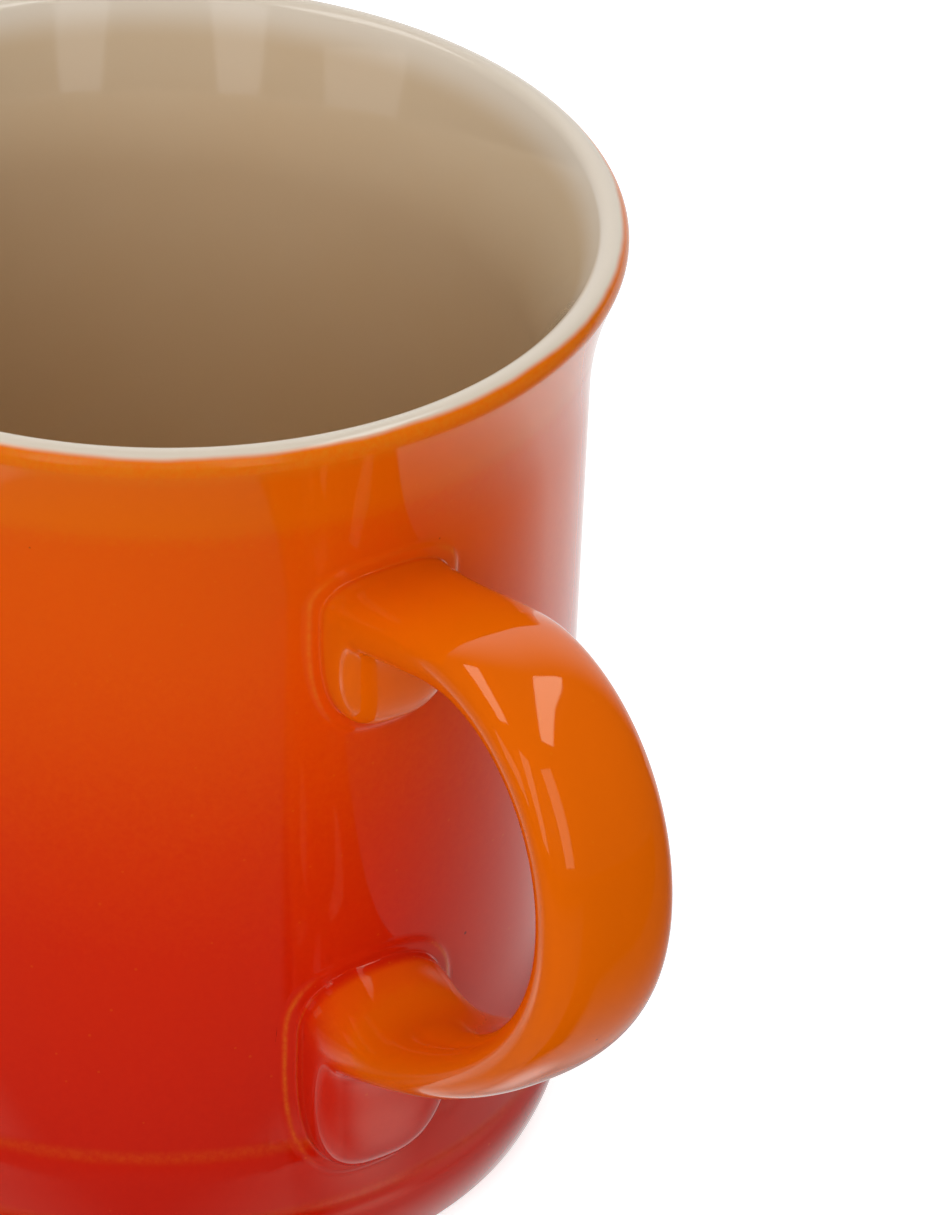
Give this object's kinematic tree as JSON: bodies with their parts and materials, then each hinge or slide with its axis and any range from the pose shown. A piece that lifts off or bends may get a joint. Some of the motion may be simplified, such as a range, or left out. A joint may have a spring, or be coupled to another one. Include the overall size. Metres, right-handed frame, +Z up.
{
  "type": "soup mug",
  "caption": "Upright glazed stoneware soup mug with a leaning rounded lip, stepped foot and pulled strap handle luted to the wall.",
  "frame": {"origin": "on the mug's upright axis, at the table plane under the foot ring", "axes": "+Z up out of the mouth, +X from the axis out through the handle, +Y across the handle"},
  "size_m": [0.1362, 0.096, 0.106],
  "materials": {
    "stoneware": "bare fired stoneware clay",
    "slip": "fired joining slip",
    "liner_glaze": "glossy cream liner glaze",
    "body_glaze": "glossy sprayed glaze, orange above fading to red below",
    "handle_glaze": "glossy orange glaze"
  },
  "bodies": {
    "root": {"mug_body": "stoneware", "handle": "stoneware", "upper_slip_joint": "slip", "lower_slip_joint": "slip", "liner_glaze": "liner_glaze", "body_glaze": "body_glaze", "handle_glaze": "handle_glaze"}
  },
  "joints": []
}
